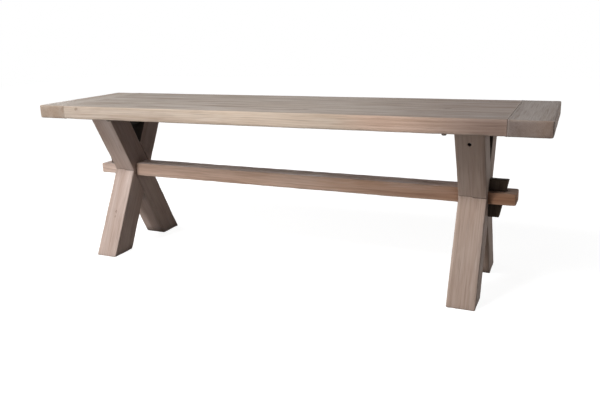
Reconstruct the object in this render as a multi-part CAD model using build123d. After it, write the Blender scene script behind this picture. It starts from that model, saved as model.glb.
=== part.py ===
from build123d import *
import os
from math import atan2, cos, sqrt, tan

# Trestle bench in solid timber. Millimetres, +Z up, X along the seat, front towards -Y.
# The origin is on the floor under the middle of the seat.

# Seat
seat_length = 1400.0
seat_depth = 350.0
seat_height = 450.0
seat_thickness = 38.0
seat_round = 3.0
board_count = 3
board_arris = 0.5

# Breadboard ends and the stopped tongue that holds each of them
breadboard_width = 92.0
tongue_thickness = 12.0
tongue_length = 25.0
tongue_inset = 30.0
groove_gap = 1.0
peg_radius = 4.0
peg_cover = 6.0
peg_slot_play = 2.0

# Dowels across the joints between the boards
dowel_radius = 4.0
dowel_length = 40.0
dowel_end_gap = 1.0
dowel_margin = 148.0
dowels_per_joint = 5

# Trestles: two crossing beams each, halved into each other
trestle_inset = 178.0
leg_width = 69.0
leg_thickness = 73.0
foot_spread = 244.0
top_spread = 176.0
leg_round = 3.0

# Stretcher, with tenons shouldered above and below through both crossings
stretcher_depth = 58.0
stretcher_height = 40.0
stretcher_round = 3.0
tenon_top_shoulder = 8.0
tenon_bottom_shoulder = 2.0
tenon_reach = 66.0
tenon_chamfer = 2.5

# Loose wedges through the tenon ends
wedge_top_width = 45.5
wedge_bottom_width = 25.5
wedge_height = 96.0
wedge_rise = 28.5
wedge_thickness = 20.0
wedge_side_play = 0.2
wedge_relief = 4.0
wedge_chamfer = 1.5

# Spacer block between the leg tops
block_height = 40.0
block_width = 40.0
block_arris = 1.5

# Steel plate let into the underside of the seat
plate_thickness = 4.0
plate_overhang = 30.0
plate_setback = 5.0
plate_margin = 12.0
plate_corner = 8.0

# Hexagon bolts, washers and threaded inserts
bolt_radius = 3.0
bolt_hole_play = 0.5
bolt_edge = 14.0
bolt_tip_gap = 2.0
bolt_tip_chamfer = 0.8
head_across_flats = 10.0
head_height = 4.0
head_dish_depth = 0.6
head_dish_radius = 3.5
washer_radius = 6.0
washer_thickness = 1.6
insert_radius = 5.0
insert_length = 15.0
insert_flange_radius = 6.5
insert_flange = 1.0

# Wood screws: countersunk ones down into the leg tops, a pan-headed one through one leg
screw_radius = 2.5
plate_screw_length = 46.0
plate_screw_spacing = 36.0
plate_screw_head = 5.0
block_screw_tip_gap = 11.7
block_screw_drop = 31.0
block_screw_head = 3.5
block_screw_head_height = 3.0
counterbore_radius = 3.8
counterbore_depth = 26.0
recess_across_flats = 4.0
recess_depth = 2.0

# Shared fit of round pieces in their holes, and the reach of a cut past a face
round_fit = 0.05
overrun = 5.0
snap = 0.01

# Worked out
underside = seat_height - seat_thickness
middle_height = seat_height - seat_thickness / 2
board_width = seat_depth / board_count
board_end = seat_length / 2 - breadboard_width
dowel_pitch = 2 * (board_end - dowel_margin) / (dowels_per_joint - 1)
trestle_offset = seat_length / 2 - trestle_inset
top_offset = top_spread / 2
foot_offset = foot_spread / 2
leg_angle = atan2(foot_offset + top_offset, underside)
slope = tan(leg_angle)
leg_cut = leg_thickness / cos(leg_angle)
crossing_height = foot_offset / slope
inner_face = trestle_offset - leg_width / 2
outer_face = trestle_offset + leg_width / 2
tenon_half_depth = stretcher_depth / 2
tenon_top = crossing_height + stretcher_height / 2 - tenon_top_shoulder
tenon_bottom = crossing_height - stretcher_height / 2 + tenon_bottom_shoulder
wedge_top = tenon_top + wedge_rise
wedge_bottom = wedge_top - wedge_height
plate_half_depth = seat_depth / 2 - plate_margin
recess_floor = underside + plate_thickness
block_bottom = underside - block_height
block_screw_height = underside - block_screw_drop
block_screw_tip = -bolt_radius - bolt_hole_play - block_screw_tip_gap
block_screw_face = (crossing_height - block_screw_height) * slope - leg_cut / 2
block_screw_seat = block_screw_face + counterbore_depth
corner_bolt_x = inner_face - plate_overhang + bolt_edge
corner_bolt_y = plate_half_depth - bolt_edge
insert_bottom = recess_floor + insert_flange
insert_top = insert_bottom + insert_length
head_corner_radius = head_across_flats / sqrt(3)
corner_bolts = [(corner_bolt_x, -corner_bolt_y), (corner_bolt_x, corner_bolt_y)]
block_bolts = [(trestle_offset, 0)]


def slab(x_low, x_high, y_low, y_high, z_low, z_high):
    """A rectangular block between two corners."""
    centre = ((x_low + x_high) / 2, (y_low + y_high) / 2, (z_low + z_high) / 2)
    return Pos(*centre) * Box(x_high - x_low, y_high - y_low, z_high - z_low)


def prism(corners, sweep):
    """A flat outline of 3-D corners, pushed along a vector."""
    outline = Face(Wire.make_polygon(corners, close=True))
    return extrude(outline, amount=Vector(*sweep).length, dir=sweep)


def upright(x, y, z_low, z_high, radius):
    """A vertical round bar or hole."""
    return Pos(x, y, (z_low + z_high) / 2) * Cylinder(radius, z_high - z_low)


def crosswise(x, z, y_low, y_high, radius):
    """A round bar or hole that lies front to back."""
    return Pos(x, (y_low + y_high) / 2, z) * Rot(X=90) * Cylinder(radius, y_high - y_low)


def group(solids):
    """Several separate solids in one node."""
    return Compound(children=list(solids))


def both_ends(piece):
    """A right-hand piece, and the same piece turned half round to the left-hand end."""
    return [piece, piece.rotate(Axis.Z, 180)]


def edges_at(piece, axis, **place):
    """The edges of a piece along one axis whose middles lie at the named coordinates."""
    found = piece.edges().filter_by(axis)
    for name, value in place.items():
        found = found.filter_by(lambda edge: abs(getattr(edge.center(), name) - value) < snap)
    return found


def plate_blank(z_low):
    """The round-cornered outline of the right-hand plate, from some height up to its top."""
    blank = slab(
        inner_face - plate_overhang, outer_face - plate_setback,
        -plate_half_depth, plate_half_depth, z_low, recess_floor,
    )
    return fillet(blank.edges().filter_by(Axis.Z), plate_corner)


def insert_holes():
    """Right-hand blind holes above the plate for the threaded inserts."""
    holes = []
    for x, y in corner_bolts + block_bolts:
        holes.append(upright(x, y, recess_floor - overrun, insert_top, insert_radius + round_fit))
        holes.append(upright(x, y, recess_floor - overrun, insert_bottom, insert_flange_radius + round_fit))
    return holes


def board_name(number):
    """What a board is called, counted from the front."""
    if number == 0:
        return "front"
    if number == board_count - 1:
        return "back"
    return "middle" if board_count == 3 else f"middle_{number}"


def dowel_places():
    """The X positions of the dowels in one joint."""
    first = -dowel_pitch * (dowels_per_joint - 1) / 2
    return [first + dowel_pitch * number for number in range(dowels_per_joint)]


def joint_places():
    """The Y positions of the joints between the boards."""
    return [-seat_depth / 2 + board_width * number for number in range(1, board_count)]


def board_centres():
    """The Y positions of the middles of the boards."""
    return [-seat_depth / 2 + board_width * (number + 0.5) for number in range(board_count)]


def peg_x():
    """How far from the middle of the seat the pegs of a breadboard end stand."""
    return board_end + tongue_length / 2


def seat_board(number):
    """One lengthwise board with a stub tongue at each end."""
    y_low = -seat_depth / 2 + board_width * number
    y_high = y_low + board_width
    board = slab(-board_end, board_end, y_low, y_high, underside, seat_height)
    outer_sides = [y for y in (y_low, y_high) if abs(abs(y) - seat_depth / 2) < snap]
    inner_sides = [y for y in (y_low, y_high) if y not in outer_sides]
    arrises = [edge for y in inner_sides for edge in edges_at(board, Axis.X, Y=y)]
    for end in (-board_end, board_end):
        arrises += edges_at(board, Axis.Y, X=end)
    board = chamfer(arrises, board_arris)
    for y in outer_sides:
        board = fillet(edges_at(board, Axis.X, Y=y), seat_round)
    tongue_low = max(y_low, -seat_depth / 2 + tongue_inset)
    tongue_high = min(y_high, seat_depth / 2 - tongue_inset)
    reach = board_end + tongue_length
    board += slab(
        -reach, reach, tongue_low, tongue_high,
        middle_height - tongue_thickness / 2, middle_height + tongue_thickness / 2,
    )
    for cut in [plate_blank(underside - overrun)] + insert_holes():
        for placed in both_ends(cut):
            board -= placed
    half_hole = dowel_length / 2 + dowel_end_gap
    for y in inner_sides:
        for x in dowel_places():
            board -= crosswise(x, middle_height, y - half_hole, y + half_hole, dowel_radius + round_fit)
    play = peg_slot_play if outer_sides else 0.0
    centre = board_centres()[number]
    for x in (-peg_x(), peg_x()):
        for shift in {-play, play}:
            board -= upright(x, centre + shift, underside, seat_height, peg_radius + round_fit)
        if play:
            board -= slab(
                x - peg_radius - round_fit, x + peg_radius + round_fit,
                centre - play, centre + play, underside, seat_height,
            )
    return board


def board_dowels():
    """The hidden dowels that line the boards up."""
    half = dowel_length / 2
    return group(
        crosswise(x, middle_height, y - half, y + half, dowel_radius)
        for y in joint_places() for x in dowel_places()
    )


def breadboard_end():
    """The right-hand cross board, grooved for the tongues."""
    tip = seat_length / 2
    board = slab(board_end, tip, -seat_depth / 2, seat_depth / 2, underside, seat_height)
    board = chamfer(edges_at(board, Axis.Y, X=board_end), board_arris)
    outside = list(edges_at(board, Axis.Y, X=tip)) + list(edges_at(board, Axis.Z, X=tip))
    for y in (-seat_depth / 2, seat_depth / 2):
        outside += edges_at(board, Axis.X, Y=y)
    board = fillet(outside, seat_round)
    half_groove = seat_depth / 2 - tongue_inset + groove_gap
    board -= slab(
        board_end - overrun, board_end + tongue_length + groove_gap, -half_groove, half_groove,
        middle_height - tongue_thickness / 2, middle_height + tongue_thickness / 2,
    )
    for y in board_centres():
        board -= upright(
            peg_x(), y, underside - overrun, seat_height - peg_cover, peg_radius + round_fit
        )
    return board


def breadboard_pegs():
    """The right-hand pegs, driven up through the groove and the tongues from below."""
    return group(
        upright(peg_x(), y, underside, seat_height - peg_cover, peg_radius) for y in board_centres()
    )


def crossing():
    """The diamond that both legs of the right-hand trestle share, seen from the end."""
    half = leg_cut / 2
    rise = half / slope
    return [
        (-half, crossing_height), (0, crossing_height - rise),
        (half, crossing_height), (0, crossing_height + rise),
    ]


def leg(foot_side, lap_low, lap_high):
    """A right-hand leg that leaves out the crossing between two X places."""
    half = leg_cut / 2
    foot = foot_side * foot_offset
    top = -foot_side * top_offset
    corners = [(foot - half, 0), (foot + half, 0), (top + half, underside), (top - half, underside)]
    beam = prism([(inner_face, y, z) for y, z in corners], (leg_width, 0, 0))
    long_edges = [
        edge for edge in beam.edges()
        if abs(edge.center().X - trestle_offset) > snap
        and snap < edge.center().Z < underside - snap
    ]
    beam = fillet(long_edges, leg_round)
    beam -= prism([(lap_low, y, z) for y, z in crossing()], (lap_high - lap_low, 0, 0))
    beam -= slab(
        inner_face - overrun, outer_face + overrun, -tenon_half_depth, tenon_half_depth,
        tenon_bottom, tenon_top,
    )
    for x in plate_screw_places():
        beam -= upright(
            x, top, recess_floor - plate_screw_length - round_fit, underside + overrun,
            screw_radius + round_fit,
        )
    return beam


def screwed_leg():
    """The right-hand back leg, with the stepped hole for the screw into the spacer block."""
    beam = leg(1, inner_face - overrun, trestle_offset)
    mouth = block_screw_seat - leg_cut
    beam -= crosswise(trestle_offset, block_screw_height, mouth, block_screw_seat, counterbore_radius)
    return beam - crosswise(
        trestle_offset, block_screw_height, block_screw_seat, 0, screw_radius + round_fit
    )


def plate_screw_places():
    """The X positions of the two screws in the top of a right-hand leg."""
    return [trestle_offset - plate_screw_spacing / 2, trestle_offset + plate_screw_spacing / 2]


def spacer_block():
    """The block wedged between the leg tops, bolted up against the seat."""
    top_half = top_offset - leg_cut / 2
    bottom_half = top_half - block_height * slope
    corners = [
        (-bottom_half, block_bottom), (bottom_half, block_bottom),
        (top_half, underside), (-top_half, underside),
    ]
    x_low = trestle_offset - block_width / 2
    block = prism([(x_low, y, z) for y, z in corners], (block_width, 0, 0))
    block = chamfer(edges_at(block, Axis.Y, Z=block_bottom), block_arris)
    block -= upright(
        trestle_offset, 0, block_bottom - overrun, underside + overrun, bolt_radius + bolt_hole_play
    )
    return block - crosswise(
        trestle_offset, block_screw_height, block_screw_seat, block_screw_tip + round_fit,
        screw_radius + round_fit,
    )


def mounting_plate():
    """The flat steel plate that joins the leg tops and takes the bolts."""
    plate = plate_blank(underside)
    for x, y in corner_bolts + block_bolts:
        plate -= upright(x, y, underside - overrun, recess_floor + overrun, bolt_radius + bolt_hole_play)
    for x, y in plate_screw_points():
        plate -= upright(x, y, underside - overrun, recess_floor + overrun, screw_radius + round_fit)
        plate -= countersunk_head(x, y, round_fit)
    return plate


def plate_screw_points():
    """Where the countersunk screws of the right-hand trestle stand."""
    return [(x, side * top_offset) for x in plate_screw_places() for side in (-1, 1)]


def countersunk_head(x, y, play=0.0):
    """The cone of a countersunk head, flush with the top of the plate."""
    depth = plate_screw_head - screw_radius
    cone = Cone(screw_radius + play, plate_screw_head + play, depth)
    return Pos(x, y, recess_floor - depth / 2) * cone


def hexagon_recess(across_flats):
    """A short six-sided bar that cuts a key recess, its top at the origin."""
    sketch = RegularPolygon(across_flats / 2, 6, major_radius=False)
    return Pos(0, 0, -recess_depth) * extrude(sketch, amount=recess_depth)


def plate_screws():
    """The four screws that hold the right-hand plate to the leg tops."""
    key = hexagon_recess(recess_across_flats)
    screws = []
    for x, y in plate_screw_points():
        shank = upright(x, y, recess_floor - plate_screw_length, recess_floor, screw_radius)
        shank = chamfer(shank.edges().sort_by(Axis.Z)[0], screw_radius / 2)
        screws.append(shank + countersunk_head(x, y) - Pos(x, y, recess_floor) * key)
    return group(screws)


def block_screw():
    """The recessed screw through the right-hand back leg into the spacer block."""
    shank = crosswise(
        trestle_offset, block_screw_height, block_screw_seat, block_screw_tip, screw_radius
    )
    shank = chamfer(shank.edges().sort_by(Axis.Y)[-1], screw_radius / 2)
    crown = block_screw_seat - block_screw_head_height
    head = crosswise(trestle_offset, block_screw_height, crown, block_screw_seat, block_screw_head)
    key = Pos(trestle_offset, crown, block_screw_height) * Rot(X=90) * hexagon_recess(recess_across_flats)
    return shank + head - key


def hexagon_bolt(x, y, seat, tip):
    """A bolt driven upwards, with its head hanging below its seat."""
    shank = upright(x, y, seat, tip, bolt_radius)
    shank = chamfer(shank.edges().sort_by(Axis.Z)[-1], bolt_tip_chamfer)
    head = Pos(x, y, seat - head_height) * extrude(RegularPolygon(head_corner_radius, 6), amount=head_height)
    dish = upright(x, y, seat - head_height - overrun, seat - head_height + head_dish_depth, head_dish_radius)
    return shank + head - dish


def seat_bolts():
    """The short bolts at the inboard corners of the right-hand plate."""
    seat = underside - washer_thickness
    tip = insert_top - bolt_tip_gap
    return group(hexagon_bolt(x, y, seat, tip) for x, y in corner_bolts)


def block_bolt():
    """The long bolt up through the right-hand spacer block."""
    return hexagon_bolt(trestle_offset, 0, block_bottom - washer_thickness, insert_top - bolt_tip_gap)


def washers():
    """One washer under each right-hand bolt head."""
    seats = [(x, y, underside) for x, y in corner_bolts]
    seats += [(x, y, block_bottom) for x, y in block_bolts]
    return group(
        upright(x, y, z - washer_thickness, z, washer_radius)
        - upright(x, y, z - washer_thickness - overrun, z + overrun, bolt_radius + bolt_hole_play)
        for x, y, z in seats
    )


def threaded_inserts():
    """The flanged inserts above the right-hand plate."""
    return group(
        upright(x, y, recess_floor, insert_top, insert_radius)
        + upright(x, y, recess_floor, insert_bottom, insert_flange_radius)
        - upright(x, y, recess_floor - overrun, insert_top + overrun, bolt_radius + round_fit)
        for x, y in corner_bolts + block_bolts
    )


def wedge_outline(grow):
    """The tapered outline in X and Z, run on past both ends of the wedge by one length."""
    lean = (wedge_top_width - wedge_bottom_width) / wedge_height
    bottom_tip = outer_face + wedge_bottom_width - grow * lean
    top_tip = outer_face + wedge_top_width + grow * lean
    return [
        (outer_face, wedge_bottom - grow), (bottom_tip, wedge_bottom - grow),
        (top_tip, wedge_top + grow), (outer_face, wedge_top + grow),
    ]


def wedge():
    """The right-hand wedge, tight against the leg and the sloping end of its slot."""
    corners = [(x, -wedge_thickness / 2, z) for x, z in wedge_outline(0)]
    key = prism(corners, (0, wedge_thickness, 0))
    ends = key.edges().filter_by(lambda edge: abs(edge.center().Z - wedge_top) < snap)
    ends += key.edges().filter_by(lambda edge: abs(edge.center().Z - wedge_bottom) < snap)
    return chamfer(ends, wedge_chamfer)


def wedge_slot():
    """The slot in the right-hand tenon, open a little behind the face of the leg."""
    half = wedge_thickness / 2 + wedge_side_play
    slot = prism([(x, -half, z) for x, z in wedge_outline(overrun)], (0, 2 * half, 0))
    return slot + slab(
        outer_face - wedge_relief, outer_face + overrun, -half, half, wedge_bottom, wedge_top
    )


def stretcher():
    """The long rail with a tenon at each end."""
    half_depth = stretcher_depth / 2
    half_height = stretcher_height / 2
    rail = slab(
        -inner_face, inner_face, -half_depth, half_depth,
        crossing_height - half_height, crossing_height + half_height,
    )
    rail = fillet(rail.edges().filter_by(Axis.X), stretcher_round)
    tip = outer_face + tenon_reach
    tenon = slab(inner_face, tip, -tenon_half_depth, tenon_half_depth, tenon_bottom, tenon_top)
    end_edges = list(edges_at(tenon, Axis.Y, X=tip)) + list(edges_at(tenon, Axis.Z, X=tip))
    tenon = chamfer(end_edges, tenon_chamfer) - wedge_slot()
    for placed in both_ends(tenon):
        rail += placed
    return rail


def all_pieces():
    """Every node of the bench by name."""
    pieces = {}
    for number in range(board_count):
        pieces[f"seat_board_{board_name(number)}"] = seat_board(number)
    pieces["board_dowels"] = board_dowels()
    pieces["stretcher"] = stretcher()
    right_hand = {
        "breadboard_end": breadboard_end(),
        "breadboard_pegs": breadboard_pegs(),
        "front_leg": leg(-1, trestle_offset, outer_face + overrun),
        "back_leg": screwed_leg(),
        "spacer_block": spacer_block(),
        "mounting_plate": mounting_plate(),
        "plate_screws": plate_screws(),
        "block_screw": block_screw(),
        "seat_bolts": seat_bolts(),
        "block_bolt": block_bolt(),
        "washers": washers(),
        "threaded_inserts": threaded_inserts(),
        "wedge": wedge(),
    }
    turned = {"front_leg": "back_leg", "back_leg": "front_leg"}
    for name, piece in right_hand.items():
        pieces[f"right_{name}"], pieces[f"left_{turned.get(name, name)}"] = both_ends(piece)
    return pieces


os.makedirs("parts", exist_ok=True)
for node, piece in all_pieces().items():
    export_step(piece, f"parts/{node}.step")
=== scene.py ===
import math

import bmesh
import bpy
from mathutils import Matrix, Vector


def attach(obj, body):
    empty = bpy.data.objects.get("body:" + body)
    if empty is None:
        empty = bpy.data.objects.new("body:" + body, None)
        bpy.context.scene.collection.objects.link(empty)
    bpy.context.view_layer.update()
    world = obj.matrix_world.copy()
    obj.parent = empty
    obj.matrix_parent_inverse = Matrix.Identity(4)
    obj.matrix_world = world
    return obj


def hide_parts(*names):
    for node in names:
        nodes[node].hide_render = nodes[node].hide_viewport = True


# A trestle bench in limed pine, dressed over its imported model.
# Metres, +Z up, X along the seat, the front towards -Y.

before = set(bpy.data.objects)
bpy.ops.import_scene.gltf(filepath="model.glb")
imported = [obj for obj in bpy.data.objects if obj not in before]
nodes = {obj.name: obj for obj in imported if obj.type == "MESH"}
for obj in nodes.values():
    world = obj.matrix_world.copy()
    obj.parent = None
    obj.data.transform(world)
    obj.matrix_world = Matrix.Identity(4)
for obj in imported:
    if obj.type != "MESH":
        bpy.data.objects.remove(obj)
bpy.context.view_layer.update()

# A leg runs this far to the side while it rises from the floor to the seat's underside
LEG_RUN = 0.210
LEG_RISE = 0.412
LEG_LEAN = math.atan2(LEG_RUN, LEG_RISE)


def leg_grain(way):
    """The grain directions of a leg, with its foot in front for 1 and behind for -1."""
    run, rise = way * math.sin(LEG_LEAN), math.cos(LEG_LEAN)
    return (0, run, rise), (1, 0, 0), (0, rise, -run)


# Grain directions: along the grain, across it, and into the board
ALONG_SEAT = ((1, 0, 0), (0, 1, 0), (0, 0, 1))
ACROSS_SEAT = ((0, 1, 0), (-1, 0, 0), (0, 0, 1))
UPRIGHT = ((0, 0, 1), (0, 1, 0), (-1, 0, 0))
FOOT_IN_FRONT = leg_grain(1)
FOOT_BEHIND = leg_grain(-1)

# The heights between which the painted shade in the V and the painted shade under the seat come in
V_HEIGHTS = (0.28, 0.31)
UNDER_SEAT_HEIGHTS = (0.225, 0.285)

# Colours that multiply the wood's own as painted shade, in corners, under the seat and in the V; and the lime
# that is left in the seams, which also paints out the shadow of their grooves
CORNER_PAINTED_SHADE = (0.10, 0.08, 0.07)
UNDER_SEAT_PAINTED_SHADE = (0.46, 0.42, 0.43)
V_PAINTED_SHADE = (0.05, 0.06, 0.05)
SEAM_LIME_AND_LIGHT = (0.82, 0.76, 0.70)

# Each seed moves the figure of the wood by this much along its grain
SEED_STEP = 3.7

# A knot is a third longer along the grain than across it, and it has no end along its own branch
KNOT_SHAPE = (0.75, 1.0, 1.0)

# Wood nearer to a neighbour than the first gap keeps its shape, and past the second it is free to wear.
# The lime of a seam ends at the third.
TOUCHING_GAP = 0.0008
FREE_GAP = 0.006
SEAM_GAP = 0.0024

# The noises in the figure of the wood: cells a metre along and across the grain, detail and roughness
FIGURE_NOISES = {
    "Streak": (1.7, 85.0, 3.0, 0.6),
    "Fibre": (11.0, 620.0, 2.0, 0.6),
    "Cloud": (2.6, 13.0, 3.0, 0.55),
    "Band": (1.3, 34.0, 2.0, 0.5),
    "Patch": (5.5, 42.0, 3.0, 0.6),
}


def add(tree, kind, inputs=(), **settings):
    """One node, with its settings, and its inputs given as values or as sockets to join."""
    made = tree.nodes.new(kind)
    for name, value in settings.items():
        setattr(made, name, value)
    for key, value in dict(inputs).items():
        if isinstance(value, bpy.types.NodeSocket):
            tree.links.new(value, made.inputs[key])
        else:
            made.inputs[key].default_value = value
    return made


def calc(tree, operation, *values):
    """The result of one sum on numbers."""
    return add(tree, "ShaderNodeMath", dict(enumerate(values)), operation=operation).outputs[0]


def times(tree, first, *others):
    """The product of some numbers."""
    for other in others:
        first = calc(tree, "MULTIPLY", first, other)
    return first


def vector_calc(tree, operation, *values):
    """The result of one sum on vectors."""
    made = add(tree, "ShaderNodeVectorMath", dict(enumerate(values)), operation=operation)
    return made.outputs["Value" if operation in ("LENGTH", "DOT_PRODUCT") else "Vector"]


def part_of(tree, vector, axis):
    """One number of a vector: its X, Y or Z."""
    return add(tree, "ShaderNodeSeparateXYZ", {0: vector}).outputs[axis]


def upright(tree, height):
    """A vector straight up, as long as a number."""
    return add(tree, "ShaderNodeCombineXYZ", {"Z": height}).outputs[0]


def fade(tree, value, low, high, first=0.0, last=1.0):
    """A soft step from the first number to the last as a value goes from low to high."""
    sockets = {"Value": value, "From Min": low, "From Max": high, "To Min": first, "To Max": last}
    return add(tree, "ShaderNodeMapRange", sockets, interpolation_type="SMOOTHSTEP").outputs[0]


def speckle(tree, place, stretch, detail=2.0, roughness=0.5):
    """Cloudy noise, stretched by a number of cells a metre along each direction."""
    stretched = vector_calc(tree, "MULTIPLY", place, stretch)
    sockets = {"Vector": stretched, "Scale": 1.0, "Detail": detail, "Roughness": roughness}
    return add(tree, "ShaderNodeTexNoise", sockets).outputs


def swing(tree, place, stretch):
    """Cloudy noise as a vector that points any way, with parts from -0.5 to 0.5."""
    return vector_calc(tree, "SUBTRACT", speckle(tree, place, stretch)["Color"], (0.5, 0.5, 0.5))


def shifted_by(tree, place, offset, sizes):
    """A place moved by a vector, its parts multiplied by some sizes first."""
    return vector_calc(tree, "ADD", place, vector_calc(tree, "MULTIPLY", offset, sizes))


def tint(tree, amount, first, second, blend="MIX"):
    """Two colours mixed by an amount."""
    made = add(tree, "ShaderNodeMix", data_type="RGBA", blend_type=blend)
    for socket, value in ((made.inputs[0], amount), (made.inputs[6], first), (made.inputs[7], second)):
        if isinstance(value, bpy.types.NodeSocket):
            tree.links.new(value, socket)
        else:
            socket.default_value = value if socket.type == "VALUE" else (*value[:3], 1.0)
    return made.outputs[2]


def stored(tree, name):
    """A number that the worn timber tree stored on the piece."""
    return add(tree, "ShaderNodeAttribute", attribute_name=name).outputs["Fac"]


def new_group(name, kind, inputs, outputs):
    """An empty node group with named inputs and outputs, and its two end nodes."""
    tree = bpy.data.node_groups.new(name, kind)
    for way, sockets in (("INPUT", inputs), ("OUTPUT", outputs)):
        for label, socket in sockets.items():
            tree.interface.new_socket(label, in_out=way, socket_type="NodeSocket" + socket)
    return tree, tree.nodes.new("NodeGroupInput").outputs, tree.nodes.new("NodeGroupOutput").inputs


def new_finish(name):
    """An empty material and its node tree."""
    finish = bpy.data.materials.new(name)
    finish.use_nodes = True
    finish.node_tree.nodes.clear()
    return finish, finish.node_tree


def pine_figure():
    """Growth rings round the heart of the tree, and the noises that streak, band and patch the wood."""
    tree, given, result = new_group(
        "pine figure", "ShaderNodeTree",
        {"Place": "Vector", "Ring gap": "Float", "Knot pull": "Float"},
        {"Ring": "Float", **{noise: "Float" for noise in FIGURE_NOISES}},
    )
    place = given["Place"]
    drift = swing(tree, place, (1.1, 4.0, 4.0))
    ripple = swing(tree, place, (7.0, 22.0, 22.0))
    bent = shifted_by(tree, place, drift, (0.0, 0.05, 0.05))
    bent = shifted_by(tree, bent, ripple, (0.0, 0.004, 0.004))
    radius = vector_calc(tree, "LENGTH", vector_calc(tree, "MULTIPLY", bent, (0.0, 1.0, 1.0)))
    radius = calc(tree, "ADD", radius, given["Knot pull"])
    years = calc(tree, "DIVIDE", radius, given["Ring gap"])
    sockets = {"W": times(tree, radius, 38.0), "Scale": 1.0}
    good_years = add(tree, "ShaderNodeTexNoise", sockets, noise_dimensions="1D").outputs[0]
    years = calc(tree, "ADD", years, times(tree, good_years, 2.2))
    part_year = calc(tree, "FRACT", years)
    grown = calc(tree, "POWER", part_year, 2.6)
    ended = fade(tree, part_year, 0.9, 1.0, 1.0, 0.0)
    whole_years = calc(tree, "FLOOR", years)
    chance = add(tree, "ShaderNodeTexWhiteNoise", {"W": whole_years}, noise_dimensions="1D").outputs["Value"]
    strength = fade(tree, chance, 0.0, 1.0, 0.45, 1.0)
    tree.links.new(times(tree, grown, ended, strength), result["Ring"])
    for noise, (along, across, detail, roughness) in FIGURE_NOISES.items():
        tree.links.new(speckle(tree, place, (along, across, across), detail, roughness)[0], result[noise])
    return tree


def knot_mark():
    """One knot: how far it pulls the rings aside, its dark core and the broken ring of bark round it."""
    tree, given, result = new_group(
        "knot mark", "ShaderNodeTree",
        {"Place": "Vector", "Centre": "Vector", "Shape": "Vector"},
        {"Pull": "Float", "Core": "Float", "Rim": "Float"},
    )
    off = vector_calc(tree, "SUBTRACT", given["Place"], given["Centre"])
    off = shifted_by(tree, off, swing(tree, off, (120.0, 160.0, 160.0)), (0.012, 0.008, 0.008))
    reach = vector_calc(tree, "LENGTH", vector_calc(tree, "MULTIPLY", off, given["Shape"]))
    ring = times(tree, fade(tree, reach, 0.5, 1.0), fade(tree, reach, 1.0, 2.2, 1.0, 0.0))
    broken = fade(tree, speckle(tree, off, (150.0, 220.0, 220.0), 1.0)[0], 0.42, 0.62)
    tree.links.new(fade(tree, reach, 0.4, 5.0, 0.016, 0.0), result["Pull"])
    tree.links.new(fade(tree, reach, 0.2, 1.35, 1.0, 0.0), result["Core"])
    tree.links.new(times(tree, ring, broken), result["Rim"])
    return tree


PINE_FIGURE = pine_figure()
KNOT_MARK = knot_mark()


def add_knots(tree, place, turn, start, knots):
    """How far some knots pull the rings aside, and their cores and rims, each one number for them all."""
    pull, core, rim = 0.0, 0.0, 0.0
    for centre, size, branch in knots:
        branch = turn @ Vector(branch)
        shape = [0.0 if abs(way) > 0.7 else part / size for way, part in zip(branch, KNOT_SHAPE)]
        sockets = {"Place": place, "Centre": turn @ Vector(centre) + start, "Shape": shape}
        mark = add(tree, "ShaderNodeGroup", sockets, node_tree=KNOT_MARK).outputs
        pull = calc(tree, "ADD", pull, mark["Pull"])
        core = calc(tree, "MAXIMUM", core, mark["Core"])
        rim = calc(tree, "MAXIMUM", rim, mark["Rim"])
    return pull, core, rim


def pine_colour(tree, figure, upper, tones, wash, streaks, patches):
    """The tones of the wood, one over the other, from its clouds to the lime left in its grain."""
    on_top = fade(tree, upper, 0.0, 1.0, 0.4, 1.0)
    fine_lime = fade(tree, figure["Fibre"], 0.25, 0.6, 1.0, 0.2)
    broad_lime = fade(tree, figure["Streak"], 0.2, 0.7, wash, wash * 0.3)
    layers = (
        (fade(tree, figure["Band"], 0.48, 0.70, 0.0, 0.42), "late"),
        (fade(tree, figure["Band"], 0.28, 0.46, 0.35, 0.0), "lime"),
        (times(tree, fade(tree, figure["Patch"], 0.50, 0.66, 0.0, 0.82 * patches), on_top), "late"),
        (times(tree, fade(tree, figure["Patch"], 0.32, 0.46, 0.75 * patches, 0.0), on_top), "lime"),
        (times(tree, figure["Ring"], streaks * 0.9), "late"),
        (fade(tree, figure["Streak"], 0.5, 0.78, 0.0, streaks), "late"),
        (fade(tree, figure["Fibre"], 0.52, 0.75, 0.0, 0.4), "deep"),
        (times(tree, fine_lime, broad_lime), "lime"),
    )
    colour = tint(tree, fade(tree, figure["Cloud"], 0.3, 0.7), tones["warm"], tones["pale"])
    for amount, tone in layers:
        colour = tint(tree, amount, colour, tones[tone])
    return colour


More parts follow.
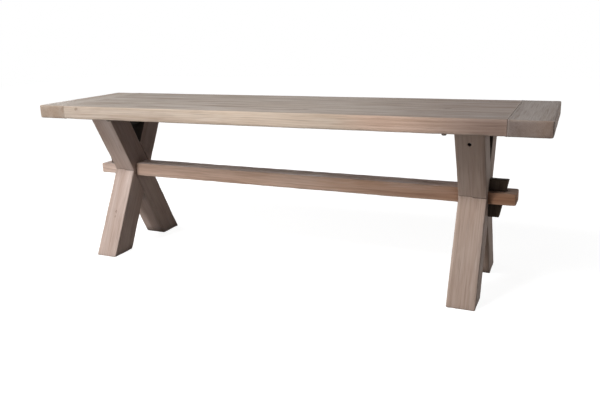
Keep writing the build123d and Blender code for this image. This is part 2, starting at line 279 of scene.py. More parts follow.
def timber(
    name, grain, heart, tones, knots=(), light_and_tone_drifts=(), ring_gap=0.0042, wash=0.35, streaks=0.6, patches=1.0,
    corner_shade=0.9, seam_lime_and_light=0.0, top_tone_and_light=0.90, cleft_shade=0.0, under_seat_shade=0.0, seed=0.0,
):
    """Brushed and limed pine, with its rings round a heart given in metres across and into the piece.

    A knot is its centre, its size and the way its branch points. A drift is a change of brightness along the
    bench, partly the wood's own tone and partly painted light: its start, its end, the colour that it
    multiplies by, and how much of it shows on the sides and on the top. The wash of lime, the streaks and
    the patches are amounts from 0 to 1. So are the painted shade in corners, the lime in seams that also
    paints out their shadow, the painted shade in the V of a trestle and the painted shade on a leg's inner
    side under the seat. The factor for the tops multiplies the brightness of the upper faces, partly as the
    wood's own tone and partly as painted light.
    """
    finish, tree = new_finish(name)
    turn = Matrix(grain)
    start = Vector((seed * SEED_STEP, -heart[0], -heart[1]))
    object_place = add(tree, "ShaderNodeTexCoord").outputs["Object"]
    sockets = {"Vector": object_place, "Location": start, "Rotation": turn.to_euler("XYZ")}
    place = add(tree, "ShaderNodeMapping", sockets, vector_type="POINT").outputs[0]
    pull, core, rim = add_knots(tree, place, turn, start, knots)
    sockets = {"Place": place, "Ring gap": ring_gap, "Knot pull": pull}
    figure = add(tree, "ShaderNodeGroup", sockets, node_tree=PINE_FIGURE).outputs
    upper = stored(tree, "upper")
    colour = pine_colour(tree, figure, upper, tones, wash, streaks, patches)
    if knots:
        colour = tint(tree, times(tree, core, 0.55), colour, tones["knot"])
        colour = tint(tree, times(tree, rim, 0.45), colour, tones["deep"])
    colour = tint(tree, times(tree, stored(tree, "end_grain"), 0.62), colour, tones["end"], "MULTIPLY")
    # The upper faces are greyer, and their brightness is multiplied by the factor for the tops: partly the
    # wood's own tone and partly painted light
    colour = add(
        tree, "ShaderNodeHueSaturation",
        {
            "Color": colour, "Saturation": fade(tree, upper, 0.0, 1.0, 1.0, 0.75),
            "Value": fade(tree, upper, 0.0, 1.0, 1.0, top_tone_and_light),
        },
    ).outputs[0]
    # Drifts brighten and darken the wood along the bench: partly its own tone and partly painted light
    along = part_of(tree, object_place, "X")
    for first, last, shade, sides, top in light_and_tone_drifts:
        amount = times(tree, fade(tree, along, first, last), fade(tree, upper, 0.0, 1.0, sides, top))
        colour = tint(tree, amount, colour, shade, "MULTIPLY")
    rubbed = times(tree, stored(tree, "arris"), fade(tree, figure["Cloud"], 0.35, 0.65, 0.05, 0.3))
    colour = tint(tree, rubbed, colour, tones["rubbed"])
    # Pale lime in the seams, which also paints out the shadow of their grooves
    if seam_lime_and_light:
        share = fade(tree, upper, 0.0, 1.0, seam_lime_and_light * 0.25, seam_lime_and_light)
        colour = tint(tree, times(tree, stored(tree, "seam"), share), colour, SEAM_LIME_AND_LIGHT)
    # Painted shade: the V between the leg tops is blackened where the deep shadow falls
    if cleft_shade:
        amount = times(tree, stored(tree, "cleft"), cleft_shade)
        colour = tint(tree, amount, colour, V_PAINTED_SHADE, "MULTIPLY")
    # Painted shade on a leg's inner side under the seat
    if under_seat_shade:
        amount = times(tree, stored(tree, "inner"), under_seat_shade)
        colour = tint(tree, amount, colour, UNDER_SEAT_PAINTED_SHADE, "MULTIPLY")
    # Painted shade in corners and creases, where little open sky reaches the wood within 35 mm
    open_sky = add(tree, "ShaderNodeAmbientOcclusion", {"Distance": 0.035}, samples=6).outputs["AO"]
    colour = tint(tree, fade(tree, open_sky, 0.20, 0.85, corner_shade, 0.0), colour, CORNER_PAINTED_SHADE, "MULTIPLY")
    height = times(tree, figure["Ring"], 0.5)
    height = calc(tree, "SUBTRACT", height, times(tree, figure["Fibre"], 0.9))
    height = calc(tree, "ADD", height, times(tree, figure["Streak"], 0.6))
    if knots:
        height = calc(tree, "SUBTRACT", height, times(tree, rim, 1.2))
    relief = add(tree, "ShaderNodeBump", {"Height": height, "Strength": 0.8, "Distance": 0.0005})
    surface = add(
        tree, "ShaderNodeBsdfPrincipled",
        {
            "Base Color": colour, "Roughness": fade(tree, figure["Fibre"], 0.3, 0.7, 0.58, 0.82),
            "Normal": relief.outputs[0], "Specular IOR Level": 0.25,
        },
    )
    add(tree, "ShaderNodeOutputMaterial", {"Surface": surface.outputs[0]})
    return finish


def metal(name, colour, dull, roughness, grain_size, metallic=1.0):
    """Plated or painted steel with fine unevenness and dull blotches."""
    finish, tree = new_finish(name)
    place = add(tree, "ShaderNodeTexCoord").outputs["Object"]
    cells = 1.0 / grain_size
    fine = speckle(tree, place, (cells, cells, cells), 3.0)[0]
    broad = speckle(tree, place, (90.0, 90.0, 90.0), 3.0)[0]
    shade = tint(tree, fade(tree, broad, 0.4, 0.65), colour, dull)
    relief = add(tree, "ShaderNodeBump", {"Height": fine, "Strength": 0.35, "Distance": 0.0002})
    surface = add(
        tree, "ShaderNodeBsdfPrincipled",
        {
            "Base Color": shade, "Roughness": fade(tree, broad, 0.35, 0.7, roughness, roughness + 0.2),
            "Normal": relief.outputs[0], "Metallic": metallic,
        },
    )
    add(tree, "ShaderNodeOutputMaterial", {"Surface": surface.outputs[0]})
    return finish


def keep(tree, geometry, name, value):
    """A shape with a number stored at its corners, for its material to read."""
    sockets = {"Geometry": geometry, "Name": name, "Value": value}
    return add(
        tree, "GeometryNodeStoreNamedAttribute", sockets, data_type="FLOAT", domain="POINT"
    ).outputs[0]


def finished(tree, geometry, finish):
    """A shape as real faces in one material."""
    real = add(tree, "GeometryNodeRealizeInstances", {"Geometry": geometry}).outputs[0]
    return add(tree, "GeometryNodeSetMaterial", {"Geometry": real, "Material": finish}).outputs[0]


def nearest_on(tree, thing):
    """The nearest point on the faces of another object, and how far away it is."""
    shape = add(tree, "GeometryNodeObjectInfo", {"Object": thing}, transform_space="RELATIVE")
    sockets = {0: shape.outputs["Geometry"]}
    return add(tree, "GeometryNodeProximity", sockets, target_element="FACES").outputs


def worn_timber_tree():
    """Moves a dense copy onto its exact faces, then wears it inwards: free arrises, hollows and dents."""
    tree, given, result = new_group(
        "worn timber", "GeometryNodeTree",
        {
            "Geometry": "Geometry", "Exact piece": "Object", "Neighbours": "Object", "Grain": "Vector",
            "Arris wear": "Float", "Hollows": "Float", "Dents": "Float", "Seed": "Float",
            "Finish": "Material",
        },
        {"Geometry": "Geometry"},
    )
    exact_place = nearest_on(tree, given["Exact piece"])["Position"]
    sockets = {"Geometry": given["Geometry"], "Position": exact_place}
    seated = add(tree, "GeometryNodeSetPosition", sockets).outputs[0]

    gap = nearest_on(tree, given["Neighbours"])["Distance"]
    free = fade(tree, gap, TOUCHING_GAP, FREE_GAP)

    # What the material reads, each from 0 to 1
    normal = add(tree, "GeometryNodeInputNormal").outputs[0]
    place = add(tree, "GeometryNodeInputPosition").outputs[0]
    bend = add(tree, "GeometryNodeInputMeshEdgeAngle").outputs["Signed Angle"]
    sockets = {"Value": bend, "Iterations": 3}
    bend = add(tree, "GeometryNodeBlurAttribute", sockets, data_type="FLOAT").outputs[0]
    facing_grain = calc(tree, "ABSOLUTE", vector_calc(tree, "DOT_PRODUCT", normal, given["Grain"]))
    facing_up = part_of(tree, normal, "Z")
    tilted = times(tree, fade(tree, facing_up, 0.12, 0.34), fade(tree, facing_up, 0.6, 0.8, 1.0, 0.0))
    which_end = calc(tree, "SIGN", part_of(tree, place, "X"))
    facing_inwards = times(tree, part_of(tree, normal, "X"), which_end, -1.0)
    tall = part_of(tree, place, "Z")
    # The V above the crossing and a leg's inner side under the seat, where the material paints shade
    in_the_v = times(tree, tilted, fade(tree, tall, *V_HEIGHTS))
    under_seat = times(tree, fade(tree, facing_inwards, 0.55, 0.95), fade(tree, tall, *UNDER_SEAT_HEIGHTS))
    kept = keep(tree, seated, "arris", times(tree, fade(tree, bend, 0.01, 0.11), free))
    kept = keep(tree, kept, "end_grain", fade(tree, facing_grain, 0.72, 0.86))
    kept = keep(tree, kept, "upper", fade(tree, facing_up, 0.6, 0.95))
    kept = keep(tree, kept, "seam", fade(tree, gap, TOUCHING_GAP, SEAM_GAP, 1.0, 0.0))
    kept = keep(tree, kept, "cleft", in_the_v)
    kept = keep(tree, kept, "inner", under_seat)

    # How deep the wear goes at each corner
    aside = add(tree, "ShaderNodeCombineXYZ", {"X": given["Seed"]}).outputs[0]
    shifted = vector_calc(tree, "ADD", place, aside)
    arris = add(tree, "GeometryNodeInputNamedAttribute", {"Name": "arris"}, data_type="FLOAT").outputs[0]
    chipped = fade(tree, speckle(tree, shifted, (26.0, 26.0, 26.0), 3.0)[0], 0.35, 0.72, 0.25, 1.0)
    sway = fade(tree, speckle(tree, shifted, (5.0, 5.0, 5.0), 1.0)[0], 0.3, 0.7)
    cells = add(
        tree, "ShaderNodeTexVoronoi", {"Vector": shifted, "Scale": 16.0, "Randomness": 1.0}, feature="F1"
    ).outputs
    chosen = fade(tree, part_of(tree, cells["Color"], "X"), 0.72, 0.8)
    pit = fade(tree, cells["Distance"], 0.02, 0.09, 1.0, 0.0)
    depth = times(tree, arris, chipped, given["Arris wear"])
    depth = calc(tree, "ADD", depth, times(tree, sway, free, given["Hollows"]))
    depth = calc(tree, "ADD", depth, times(tree, pit, chosen, free, given["Dents"]))
    sockets = {0: normal, "Scale": times(tree, depth, -1.0)}
    inwards = add(tree, "ShaderNodeVectorMath", sockets, operation="SCALE").outputs[0]
    worn = add(tree, "GeometryNodeSetPosition", {"Geometry": kept, "Offset": inwards}).outputs[0]

    # No corner goes below the floor
    across, deep, tall = add(tree, "ShaderNodeSeparateXYZ", {0: place}).outputs
    tall = calc(tree, "MAXIMUM", tall, 0.0)
    above_floor = add(tree, "ShaderNodeCombineXYZ", {"X": across, "Y": deep, "Z": tall}).outputs[0]
    stood = add(tree, "GeometryNodeSetPosition", {"Geometry": worn, "Position": above_floor}).outputs[0]
    smooth = add(tree, "GeometryNodeSetShadeSmooth", {"Geometry": stood}).outputs[0]
    tree.links.new(finished(tree, smooth, given["Finish"]), result["Geometry"])
    return tree


def raised(tree, geometry, height):
    """A shape moved straight up, or down where the height is below nought."""
    sockets = {"Geometry": geometry, "Translation": upright(tree, height)}
    return add(tree, "GeometryNodeTransform", sockets).outputs[0]


def fused(tree, operation, *shapes):
    """The union of some closed shapes, or what they share."""
    made = add(tree, "GeometryNodeMeshBoolean", operation=operation)
    for shape in shapes:
        tree.links.new(shape, made.inputs[1])
    return made.outputs[0]


def hexagon_bolt_tree():
    """A hexagon bolt at every point, its chamfered and dished head hanging below the point."""
    tree, given, result = new_group(
        "hexagon bolt", "GeometryNodeTree",
        {
            "Geometry": "Geometry", "Across flats": "Float", "Head height": "Float",
            "Shank radius": "Float", "Shank length": "Float", "Turn": "Float", "Finish": "Material",
        },
        {"Geometry": "Geometry"},
    )
    flats, tall, length = given["Across flats"], given["Head height"], given["Shank length"]
    corner = calc(tree, "DIVIDE", flats, math.sqrt(3.0))
    bar = add(tree, "GeometryNodeMeshCylinder", {"Vertices": 6, "Radius": corner, "Depth": tall})
    bar = raised(tree, bar.outputs["Mesh"], times(tree, tall, -0.5))

    # A wide cone takes the corners off the head's lower face, and a narrow one sinks a dish into it
    chamfer = add(
        tree, "GeometryNodeMeshCone",
        {
            "Vertices": 48, "Radius Bottom": times(tree, flats, 0.475),
            "Radius Top": times(tree, flats, 1.3), "Depth": times(tree, tall, 1.8),
        },
    )
    chamfer = raised(tree, chamfer.outputs["Mesh"], times(tree, tall, -1.0))
    head = fused(tree, "INTERSECT", bar, chamfer)
    dish = add(
        tree, "GeometryNodeMeshCone",
        {
            "Vertices": 32, "Radius Bottom": times(tree, flats, 0.36),
            "Radius Top": times(tree, flats, 0.27), "Depth": times(tree, tall, 0.3),
        },
    )
    dish = raised(tree, dish.outputs["Mesh"], times(tree, tall, -1.15))
    head = add(tree, "GeometryNodeMeshBoolean", {0: head, 1: dish}, operation="DIFFERENCE").outputs[0]

    # The shank starts just inside the head, so that the two join
    shank = add(
        tree, "GeometryNodeMeshCylinder", {"Vertices": 32, "Radius": given["Shank radius"], "Depth": length}
    )
    shank = raised(tree, shank.outputs["Mesh"], times(tree, length, 0.499))
    bolt = fused(tree, "UNION", head, shank)
    sockets = {"Points": given["Geometry"], "Instance": bolt, "Rotation": upright(tree, given["Turn"])}
    placed = add(tree, "GeometryNodeInstanceOnPoints", sockets).outputs[0]
    tree.links.new(finished(tree, placed, given["Finish"]), result["Geometry"])
    return tree


def washer_tree():
    """A flat washer with rounded rims, hanging below every point."""
    tree, given, result = new_group(
        "flat washer", "GeometryNodeTree",
        {
            "Geometry": "Geometry", "Outer radius": "Float", "Hole radius": "Float", "Thickness": "Float",
            "Rim": "Float", "Finish": "Material",
        },
        {"Geometry": "Geometry"},
    )
    middle = times(tree, calc(tree, "ADD", given["Outer radius"], given["Hole radius"]), 0.5)
    width = calc(tree, "SUBTRACT", given["Outer radius"], given["Hole radius"])
    sockets = {"Resolution": 64, "Radius": middle}
    path = add(tree, "GeometryNodeCurvePrimitiveCircle", sockets, mode="RADIUS").outputs[0]
    sockets = {"Width": width, "Height": given["Thickness"]}
    section = add(tree, "GeometryNodeCurvePrimitiveQuadrilateral", sockets).outputs[0]
    sockets = {"Curve": section, "Radius": given["Rim"], "Count": 3}
    section = add(tree, "GeometryNodeFilletCurve", sockets, mode="POLY").outputs[0]
    sockets = {"Curve": path, "Profile Curve": section}
    washer = add(tree, "GeometryNodeCurveToMesh", sockets).outputs[0]
    washer = raised(tree, washer, times(tree, given["Thickness"], -0.5))
    sockets = {"Points": given["Geometry"], "Instance": washer}
    placed = add(tree, "GeometryNodeInstanceOnPoints", sockets).outputs[0]
    tree.links.new(finished(tree, placed, given["Finish"]), result["Geometry"])
    return tree


WORN_TIMBER = worn_timber_tree()
HEXAGON_BOLT = hexagon_bolt_tree()
FLAT_WASHER = washer_tree()


def set_inputs(modifier, values):
    """Sets a modifier's named inputs through their identifiers."""
    for item in modifier.node_group.interface.items_tree:
        if item.item_type == "SOCKET" and item.in_out == "INPUT" and item.name in values:
            modifier[item.identifier] = values[item.name]


def settle(holder, name):
    """A plain mesh of what an object's modifiers make, as a new object that replaces it."""
    bpy.context.view_layer.update()
    graph = bpy.context.evaluated_depsgraph_get()
    mesh = bpy.data.meshes.new_from_object(holder.evaluated_get(graph), depsgraph=graph)
    bpy.data.objects.remove(holder)
    made = bpy.data.objects.new(name, mesh)
    bpy.context.scene.collection.objects.link(made)
    return made


def outwards(made):
    """Merges doubled corners and turns every face outwards."""
    shell = bmesh.new()
    shell.from_mesh(made.data)
    bmesh.ops.remove_doubles(shell, verts=shell.verts, dist=1e-6)
    bmesh.ops.recalc_face_normals(shell, faces=shell.faces)
    shell.to_mesh(made.data)
    shell.free()


def merged(names):
    """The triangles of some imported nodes, joined at their corners."""
    joined = bmesh.new()
    for name in names:
        joined.from_mesh(nodes[name].data)
    bmesh.ops.remove_doubles(joined, verts=joined.verts, dist=1e-6)
    return joined


def copy_of(names):
    """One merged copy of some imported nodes, as an object of its own."""
    joined = merged(names)
    mesh = bpy.data.meshes.new("copy")
    joined.to_mesh(mesh)
    joined.free()
    made = bpy.data.objects.new("copy", mesh)
    bpy.context.scene.collection.objects.link(made)
    return made


def boxes_of(node):
    """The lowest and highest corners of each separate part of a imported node, to a tenth of a millimetre."""
    joined = merged([node])
    left = set(joined.verts)
    boxes = []
    while left:
        waiting = [left.pop()]
        part = []
        while waiting:
            corner = waiting.pop()
            part.append(corner.co.copy())
            near = {edge.other_vert(corner) for edge in corner.link_edges} & left
            left -= near
            waiting.extend(near)
        boxes.append(tuple(tuple(round(pick(axis), 4) for axis in zip(*part)) for pick in (min, max)))
    joined.free()
    return sorted(boxes)


def worn_piece(
    node, body, finish, grain, cell, arris_wear=0.0011, hollows=0.0005, dents=0.0006, seed=0.0
):
    """A wooden node made again as a worn piece that stays inside it, with faces about a cell wide."""
    exact = copy_of([node])
    neighbours = copy_of([other for other in nodes if other != node])
    holder = copy_of([node])
    dense = holder.modifiers.new("dense", "REMESH")
    dense.mode = "VOXEL"
    dense.voxel_size = cell
    wear = holder.modifiers.new("wear", "NODES")
    wear.node_group = WORN_TIMBER
    set_inputs(
        wear,
        {
            "Exact piece": exact, "Neighbours": neighbours, "Grain": grain[0], "Arris wear": arris_wear,
            "Hollows": hollows, "Dents": dents, "Seed": seed, "Finish": finish,
        },
    )
    made = settle(holder, node + "_worn")
    for used in (exact, neighbours):
        bpy.data.objects.remove(used)
    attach(made, body)
    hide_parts(node)
    return made


def at_points(name, tree, points, values, body, replaced):
    """One mesh of the fasteners that a tree sets at some points."""
    mesh = bpy.data.meshes.new(name)
    mesh.from_pydata(points, [], [])
    holder = bpy.data.objects.new(name + "_points", mesh)
    bpy.context.scene.collection.objects.link(holder)
    build = holder.modifiers.new("build", "NODES")
    build.node_group = tree
    set_inputs(build, values)
    made = settle(holder, name)
    outwards(made)
    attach(made, body)
    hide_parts(replaced)
    return made


# Tones of the woods, as linear colours
SEAT_TONES = {
    "warm": (0.500, 0.385, 0.295), "pale": (0.560, 0.460, 0.380), "late": (0.330, 0.235, 0.170),
    "deep": (0.190, 0.130, 0.095), "lime": (0.640, 0.570, 0.500), "knot": (0.150, 0.085, 0.050),
    "end": (0.560, 0.500, 0.460), "rubbed": (0.520, 0.430, 0.350),
}
LEG_TONES = {
    "warm": (0.495, 0.362, 0.298), "pale": (0.564, 0.445, 0.391), "late": (0.324, 0.216, 0.165),
    "deep": (0.186, 0.121, 0.091), "lime": (0.649, 0.545, 0.502), "knot": (0.130, 0.080, 0.050),
    "end": (0.560, 0.500, 0.460), "rubbed": (0.511, 0.402, 0.331),
}
STRETCHER_TONES = {
    "warm": (0.605, 0.385, 0.262), "pale": (0.670, 0.472, 0.370), "late": (0.370, 0.220, 0.148),
    "deep": (0.216, 0.130, 0.090), "lime": (0.770, 0.615, 0.535), "knot": (0.130, 0.072, 0.042),
    "end": (0.560, 0.480, 0.430), "rubbed": (0.620, 0.450, 0.352),
}
WEDGE_TONES = {
    "warm": (0.100, 0.066, 0.043), "pale": (0.125, 0.088, 0.060), "late": (0.060, 0.038, 0.025),
    "deep": (0.028, 0.018, 0.013), "lime": (0.160, 0.122, 0.090), "knot": (0.025, 0.015, 0.010),
    "end": (0.700, 0.650, 0.600), "rubbed": (0.110, 0.080, 0.058),
}

# The spacer blocks are nearly black, a painted shade for the deep shadow in the V under the seat
PAINTED_SHADE_BLOCK_TONES = {part: tuple(0.12 * value for value in tone) for part, tone in WEDGE_TONES.items()}

# The ways a knot's branch points
UPWARDS = (0, 0, 1)
BACKWARDS = (0, 1, 0)

# The boards behind the front one are pale at the left and dark at the right, partly in their own tone and
# partly as painted light
INNER_BOARD_LIGHT_AND_TONE_DRIFTS = (
    (-0.60, 0.10, (1.24, 1.23, 1.23), 0.0, 1.0),
    (0.10, 0.45, (0.90, 0.89, 0.90), 0.0, 1.0),
    (0.22, 0.60, (0.80, 0.77, 0.77), 1.0, 1.0),
)


def dress_seat():
    """The three boards and the two breadboard ends."""
    boards = {
        "front": {
            "heart": (-0.150, 0.395), "seed": 0.3, "ring_gap": 0.0046,
            "knots": (
                ((-0.562, -0.175, 0.442), 0.0030, BACKWARDS), ((0.118, -0.104, 0.450), 0.0040, UPWARDS),
            ),
            "light_and_tone_drifts": (
                (-0.62, -0.50, (1.05, 1.05, 1.05), 1.0, 0.0),
                (-0.40, 0.05, (1.30, 1.29, 1.26), 1.0, 0.0),
                (0.10, 0.50, (0.90, 0.88, 0.88), 1.0, 0.0),
                (0.20, 0.33, (1.12, 1.02, 1.02), 1.0, 0.0),
                (0.36, 0.58, (0.475, 0.475, 0.50), 1.0, 0.1),
                (-0.60, 0.10, (1.25, 1.24, 1.24), 0.0, 1.0),
                (0.16, 0.45, (0.86, 0.85, 0.86), 0.0, 1.0),
                (0.25, 0.62, (0.80, 0.78, 0.78), 0.0, 1.0),
            ),
        },
        "middle": {
            "heart": (0.030, 0.360), "seed": 1.7, "ring_gap": 0.0040,
            "knots": (((0.455, -0.028, 0.450), 0.0050, UPWARDS),),
            "light_and_tone_drifts": INNER_BOARD_LIGHT_AND_TONE_DRIFTS,
        },
        "back": {
            "heart": (0.090, 0.520), "seed": 4.1, "ring_gap": 0.0050,
            "knots": (
                ((0.240, 0.135, 0.450), 0.0050, UPWARDS), ((0.060, 0.175, 0.428), 0.0055, BACKWARDS),
            ),
            "light_and_tone_drifts": INNER_BOARD_LIGHT_AND_TONE_DRIFTS,
        },
    }
    # The tops are darkened by their factor and the drifts brighten and darken the boards, partly as the
    # wood's own tone and partly as painted light
    for place, facts in boards.items():
        finish = timber(
            "limed pine, " + place + " board", ALONG_SEAT, tones=SEAT_TONES, corner_shade=0.0, seam_lime_and_light=0.32,
            top_tone_and_light=0.756, **facts,
        )
        node = "seat_board_" + place
        worn_piece(node, "bench", finish, ALONG_SEAT, cell=0.0025, seed=facts["seed"])
    # The right breadboard's drifts are partly its own tone and partly painted light
    right_light_and_tone_drifts = ((0.55, 0.60, (0.735, 0.75, 0.84), 1.0, 0.5), (0.61, 0.69, (1.24, 1.20, 1.15), 1.0, 0.0))
    for side, heart, seed, light_and_tone_drifts in (
        ("left", (0.690, 0.350), 2.2, ()), ("right", (-0.600, 0.370), 5.6, right_light_and_tone_drifts),
    ):
        finish = timber(
            "limed pine, " + side + " breadboard", ACROSS_SEAT, heart, SEAT_TONES, light_and_tone_drifts=light_and_tone_drifts,
            ring_gap=0.0036, streaks=0.45, patches=0.4, corner_shade=0.0, seam_lime_and_light=0.20, top_tone_and_light=0.80,
            seed=seed,
        )
        node = side + "_breadboard_end"
        worn_piece(node, "bench", finish, ACROSS_SEAT, cell=0.002, seed=seed)


def dress_trestles():
    """The crossed legs and the spacer blocks between their tops."""
    small_knots = (
        ((-0.521, -0.102, 0.122), 0.0026, BACKWARDS), ((-0.520, -0.109, 0.108), 0.0018, BACKWARDS),
    )
    leg_facts = {
        "left_front_leg": (FOOT_IN_FRONT, (-0.500, -0.030), 0.9, small_knots),
        "left_back_leg": (FOOT_BEHIND, (-0.560, 0.180), 3.3, ()),
        "right_front_leg": (FOOT_IN_FRONT, (0.500, -0.020), 6.4, ()),
        "right_back_leg": (FOOT_BEHIND, (0.545, 0.190), 7.8, ()),
    }
    # Each leg gets painted shade in the V between the leg tops and on its inner side under the seat
    for node, (grain, heart, seed, knots) in leg_facts.items():
        finish = timber(
            "limed pine, " + node.replace("_", " "), grain, heart, LEG_TONES, knots,
            light_and_tone_drifts=((0.2, 0.4, (0.955, 0.945, 0.915), 1.0, 1.0),), ring_gap=0.0038, streaks=0.36,
            cleft_shade=0.9, under_seat_shade=0.75, seed=seed,
        )
        worn_piece(node, "bench", finish, grain, cell=0.002, seed=seed)
    # The spacer blocks are nearly black as painted shade
    for side, seed in (("left", 8.3), ("right", 9.1)):
        finish = timber(
            "painted shade block, " + side, ACROSS_SEAT, (0.0, 0.36), PAINTED_SHADE_BLOCK_TONES, wash=0.15, seed=seed
        )
        node = side + "_spacer_block"
        worn_piece(node, "bench", finish, ACROSS_SEAT, cell=0.002, seed=seed)


def dress_stretcher():
    """The long rail and its two loose wedges."""
    # The stretcher's drifts and its brighter top are partly the wood's own tone and partly painted light
    finish = timber(
        "brown pine, stretcher", ALONG_SEAT, (0.060, 0.190), STRETCHER_TONES,
        light_and_tone_drifts=(
            (-0.47, -0.58, (1.32, 1.49, 1.69), 1.0, 0.3),
            (0.0, 0.60, (0.82, 0.72, 0.66), 1.0, 1.0),
            (-0.60, -0.55, (1.08, 1.22, 1.38), 0.0, 1.0),
            (0.45, 0.56, (0.95, 0.87, 0.79), 1.0, 1.0),
        ),
        wash=0.22, streaks=0.75, top_tone_and_light=1.20, seed=2.9,
    )
    worn_piece("stretcher", "bench", finish, ALONG_SEAT, cell=0.0024, seed=2.9)
    for side, heart, seed in (("left", (0.03, 0.5), 1.1), ("right", (0.03, -0.5), 5.0)):
        finish = timber(
            "dark stained wedge, " + side, UPRIGHT, heart, WEDGE_TONES, wash=0.15, seed=seed, ring_gap=0.003
        )
        worn_piece(
            side + "_wedge", side + "_key", finish, UPRIGHT, cell=0.0013,
            arris_wear=0.0007, hollows=0.0003, seed=seed,
        )


def set_bolts(name, node, finish, turn):
    """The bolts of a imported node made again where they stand, all with the sizes of the first."""
    head_height = 0.004
    boxes = boxes_of(node)
    low, high = boxes[0]
    values = {
        "Across flats": min(high[0] - low[0], high[1] - low[1]), "Head height": head_height,
        "Shank radius": 0.003, "Shank length": high[2] - low[2] - head_height, "Turn": turn,
        "Finish": finish,
    }
    points = [((low[0] + high[0]) / 2, (low[1] + high[1]) / 2, low[2] + head_height) for low, high in boxes]
    at_points(name, HEXAGON_BOLT, points, values, "bench", node)


def set_washers(name, node, finish):
    """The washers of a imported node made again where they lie, all with the sizes of the first."""
    boxes = boxes_of(node)
    low, high = boxes[0]
    values = {
        "Outer radius": (high[0] - low[0]) / 2, "Hole radius": 0.0035, "Thickness": high[2] - low[2],
        "Rim": 0.0003, "Finish": finish,
    }
    points = [((low[0] + high[0]) / 2, (low[1] + high[1]) / 2, high[2]) for low, high in boxes]
    at_points(name, FLAT_WASHER, points, values, "bench", node)


def dress_node(node, finish):
    """Gives a node that keeps its own shape a better finish."""
    slots = nodes[node].data.materials
    if not slots:
        slots.append(finish)
    for number in range(len(slots)):
        slots[number] = finish


def dress_fasteners():
    """Bolts and washers made again, and the finishes of the small metal and hidden wood."""
    zinc = metal("browned zinc", (0.150, 0.125, 0.100), (0.080, 0.062, 0.048), 0.46, 0.0009)
    bright = metal("bright zinc screws", (0.42, 0.41, 0.38), (0.25, 0.24, 0.22), 0.32, 0.0008)
    brass = metal("insert brass", (0.50, 0.37, 0.16), (0.32, 0.23, 0.10), 0.34, 0.0008)
    black = metal(
        "black powder coat", (0.016, 0.016, 0.017), (0.024, 0.024, 0.025), 0.42, 0.0011, metallic=0.0
    )
    dowel = timber(
        "plain beech dowels", FOOT_IN_FRONT, (0.0, 0.0), STRETCHER_TONES, wash=0.1, ring_gap=0.003
    )
    for side, turn in (("left", -0.35), ("right", 0.35)):
        set_bolts(side + "_seat_bolt_heads", side + "_seat_bolts", zinc, turn)
        set_bolts(side + "_block_bolt_head", side + "_block_bolt", zinc, turn)
        set_washers(side + "_flat_washers", side + "_washers", zinc)
        dress_node(side + "_mounting_plate", black)
        dress_node(side + "_plate_screws", bright)
        dress_node(side + "_block_screw", bright)
        dress_node(side + "_threaded_inserts", brass)
        dress_node(side + "_breadboard_pegs", dowel)
    dress_node("board_dowels", dowel)


def white_to_the_eye(tree):
    """1 for rays that show the background: straight from the camera, or by way of a gloss or glass."""
    path = add(tree, "ShaderNodeLightPath").outputs
    seen = calc(tree, "MAXIMUM", path["Is Camera Ray"], path["Is Glossy Ray"])
    return calc(tree, "MAXIMUM", seen, path["Is Transmission Ray"])


def set_floor():
    """A plain pale floor that keeps the bench's shadow and is white to the eye from 1.4 m away."""
    finish, tree = new_finish("pale floor")
    matt = add(tree, "ShaderNodeBsdfDiffuse", {"Color": (0.32, 0.32, 0.32, 1.0)})
    away = vector_calc(tree, "LENGTH", add(tree, "ShaderNodeTexCoord").outputs["Object"])
    brightness = fade(tree, away, 0.7, 1.4, 0.93, 1.0)
    glow = add(tree, "ShaderNodeEmission", {"Color": (1.0, 1.0, 1.0, 1.0), "Strength": brightness})
    nothing = add(tree, "ShaderNodeEmission", {"Strength": 0.0})
    sockets = {0: white_to_the_eye(tree), 1: nothing.outputs[0], 2: glow.outputs[0]}
    lift = add(tree, "ShaderNodeMixShader", sockets)
    both = add(tree, "ShaderNodeAddShader", {0: matt.outputs[0], 1: lift.outputs[0]})
    add(tree, "ShaderNodeOutputMaterial", {"Surface": both.outputs[0]})
    mesh = bpy.data.meshes.new("floor")
    mesh.from_pydata([(-6, -6, 0), (6, -6, 0), (6, 6, 0), (-6, 6, 0)], [], [(0, 1, 2, 3)])
    mesh.materials.append(finish)
    floor = bpy.data.objects.new("floor", mesh)
    bpy.context.scene.collection.objects.link(floor)


def set_world():
    """A white surround to the eye that lights the bench only dimly."""
    world = bpy.data.worlds.new("studio")
    world.use_nodes = True
    tree = world.node_tree
    tree.nodes.clear()
    white = add(tree, "ShaderNodeBackground", {"Color": (1.0, 1.0, 1.0, 1.0), "Strength": 1.0})
    fill = add(tree, "ShaderNodeBackground", {"Color": (1.0, 0.84, 0.80, 1.0), "Strength": 0.0175})
    sockets = {0: white_to_the_eye(tree), 1: fill.outputs[0], 2: white.outputs[0]}
    both = add(tree, "ShaderNodeMixShader", sockets)
    add(tree, "ShaderNodeOutputWorld", {"Surface": both.outputs[0]})
    bpy.context.scene.world = world


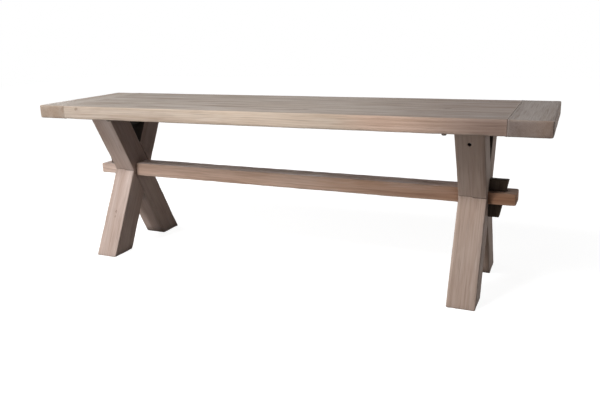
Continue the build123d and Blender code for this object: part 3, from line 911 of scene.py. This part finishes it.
# Name, place, the point it looks at, side in metres and power in watts
LAMPS = (
    ("far softbox", (-1.45, -2.50, 3.30), (0.0, 0.0, 0.30), 0.9, 64.0),
    ("near softbox", (-1.10, -1.60, 2.20), (0.0, 0.0, 0.30), 0.7, 30.0),
    ("front softbox", (-0.75, -1.90, 1.75), (0.0, 0.0, 0.35), 0.9, 5.5),
    ("low front reflector", (-1.10, -1.80, 0.55), (-0.2, 0.0, 0.25), 0.8, 7.9),
    ("back softbox", (-0.80, 1.75, 0.15), (-0.2, 0.0, 0.25), 0.26, 6.0),
    ("left reflector", (-1.55, 0.40, 0.45), (-0.5, 0.0, 0.25), 0.6, 8.0),
    ("right reflector", (1.08, 0.25, 0.42), (0.6, 0.0, 0.30), 0.3, 0.33),
)


def set_lamp(name, place, target, size, power):
    """A soft square lamp that looks at a point."""
    data = bpy.data.lights.new(name, "AREA")
    data.shape = "SQUARE"
    data.size = size
    data.energy = power
    lamp = bpy.data.objects.new(name, data)
    lamp.location = place
    lamp.rotation_euler = (Vector(target) - Vector(place)).to_track_quat("-Z", "Y").to_euler()
    lamp.visible_camera = False
    bpy.context.scene.collection.objects.link(lamp)


# The photograph's camera, fitted to the bench's own edges: its place in metres, its angles in degrees,
# and its lens and frame in the photograph's pixels
CAMERA_PLACE = (0.74722, -1.54241, 0.65181)
CAMERA_TURN = 24.367
CAMERA_TILT = 14.076
CAMERA_LEAN = -1.709
FOCAL_LENGTH = 629.27
LENS_AXIS_ROW = 183.66
FRAME_WIDTH = 600.0
FRAME_HEIGHT = 400.0


def set_camera():
    """The photograph's view of the bench."""
    turn, tilt, lean = (math.radians(angle) for angle in (CAMERA_TURN, CAMERA_TILT, CAMERA_LEAN))
    ahead = Vector((-math.sin(turn) * math.cos(tilt), math.cos(turn) * math.cos(tilt), -math.sin(tilt)))
    level = Vector((math.cos(turn), math.sin(turn), 0.0))
    above = level.cross(ahead)
    right = math.cos(lean) * level + math.sin(lean) * above
    up = math.cos(lean) * above - math.sin(lean) * level
    data = bpy.data.cameras.new("camera")
    data.sensor_width = 36.0
    data.lens = data.sensor_width * FOCAL_LENGTH / FRAME_WIDTH
    data.shift_y = (LENS_AXIS_ROW - FRAME_HEIGHT / 2) / FRAME_WIDTH
    camera = bpy.data.objects.new("camera", data)
    facing = Matrix((right, up, -ahead)).transposed().to_4x4()
    camera.matrix_world = Matrix.Translation(CAMERA_PLACE) @ facing
    bpy.context.scene.collection.objects.link(camera)
    bpy.context.scene.camera = camera


set_camera()
set_floor()
set_world()
for lamp in LAMPS:
    set_lamp(*lamp)
dress_seat()
dress_trestles()
dress_stretcher()
dress_fasteners()
bpy.context.scene.view_settings.view_transform = "Standard"
